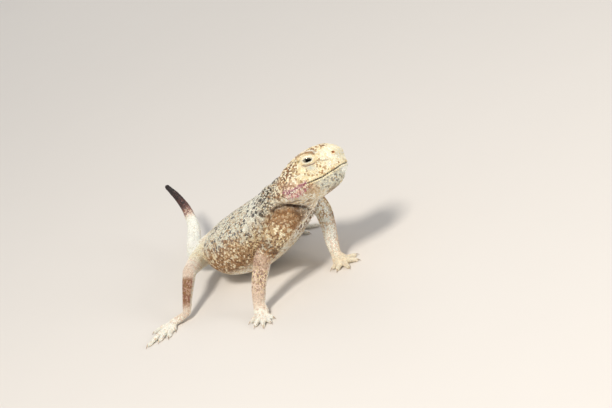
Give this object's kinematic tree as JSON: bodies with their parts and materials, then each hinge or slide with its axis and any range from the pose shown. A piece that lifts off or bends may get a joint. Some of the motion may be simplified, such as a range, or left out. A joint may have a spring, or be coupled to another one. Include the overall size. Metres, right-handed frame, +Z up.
{
  "type": "toadhead agama lizard",
  "caption": "Standing desert lizard: short blunt head raised, fringed flap at each mouth corner, broad low body, comb-fringed hind toes and a raised tapering tail.",
  "frame": {"origin": "centre of the plan outline, at the level of the soles", "axes": "+X towards the head end, +Y towards the animal's left, +Z up"},
  "size_m": [0.114, 0.0724, 0.0395],
  "materials": {
    "head_skin": "matt, finely scaled",
    "body_skin": "matt, finely scaled",
    "limb_skin": "matt, finely scaled",
    "foot_skin": "matt, finely scaled",
    "tail_skin": "matt, scaled",
    "tail_tip_skin": "matt, scaled",
    "flap_skin": "matt, folded skin with pointed scales",
    "eye": "wet gloss"
  },
  "bodies": {
    "root": {"eye_left": "eye", "eye_right": "eye", "flap_left": "flap_skin", "flap_right": "flap_skin", "foot_left": "foot_skin", "foot_right": "foot_skin", "forearm_left": "limb_skin", "forearm_right": "limb_skin", "hand_left": "foot_skin", "hand_right": "foot_skin", "head": "head_skin", "jaw": "head_skin", "neck": "body_skin", "shank_left": "limb_skin", "shank_right": "limb_skin", "tail_base": "tail_skin", "tail_middle": "tail_skin", "tail_tip": "tail_tip_skin", "thigh_left": "limb_skin", "thigh_right": "limb_skin", "torso": "body_skin", "upper_arm_left": "limb_skin", "upper_arm_right": "limb_skin"}
  },
  "joints": []
}
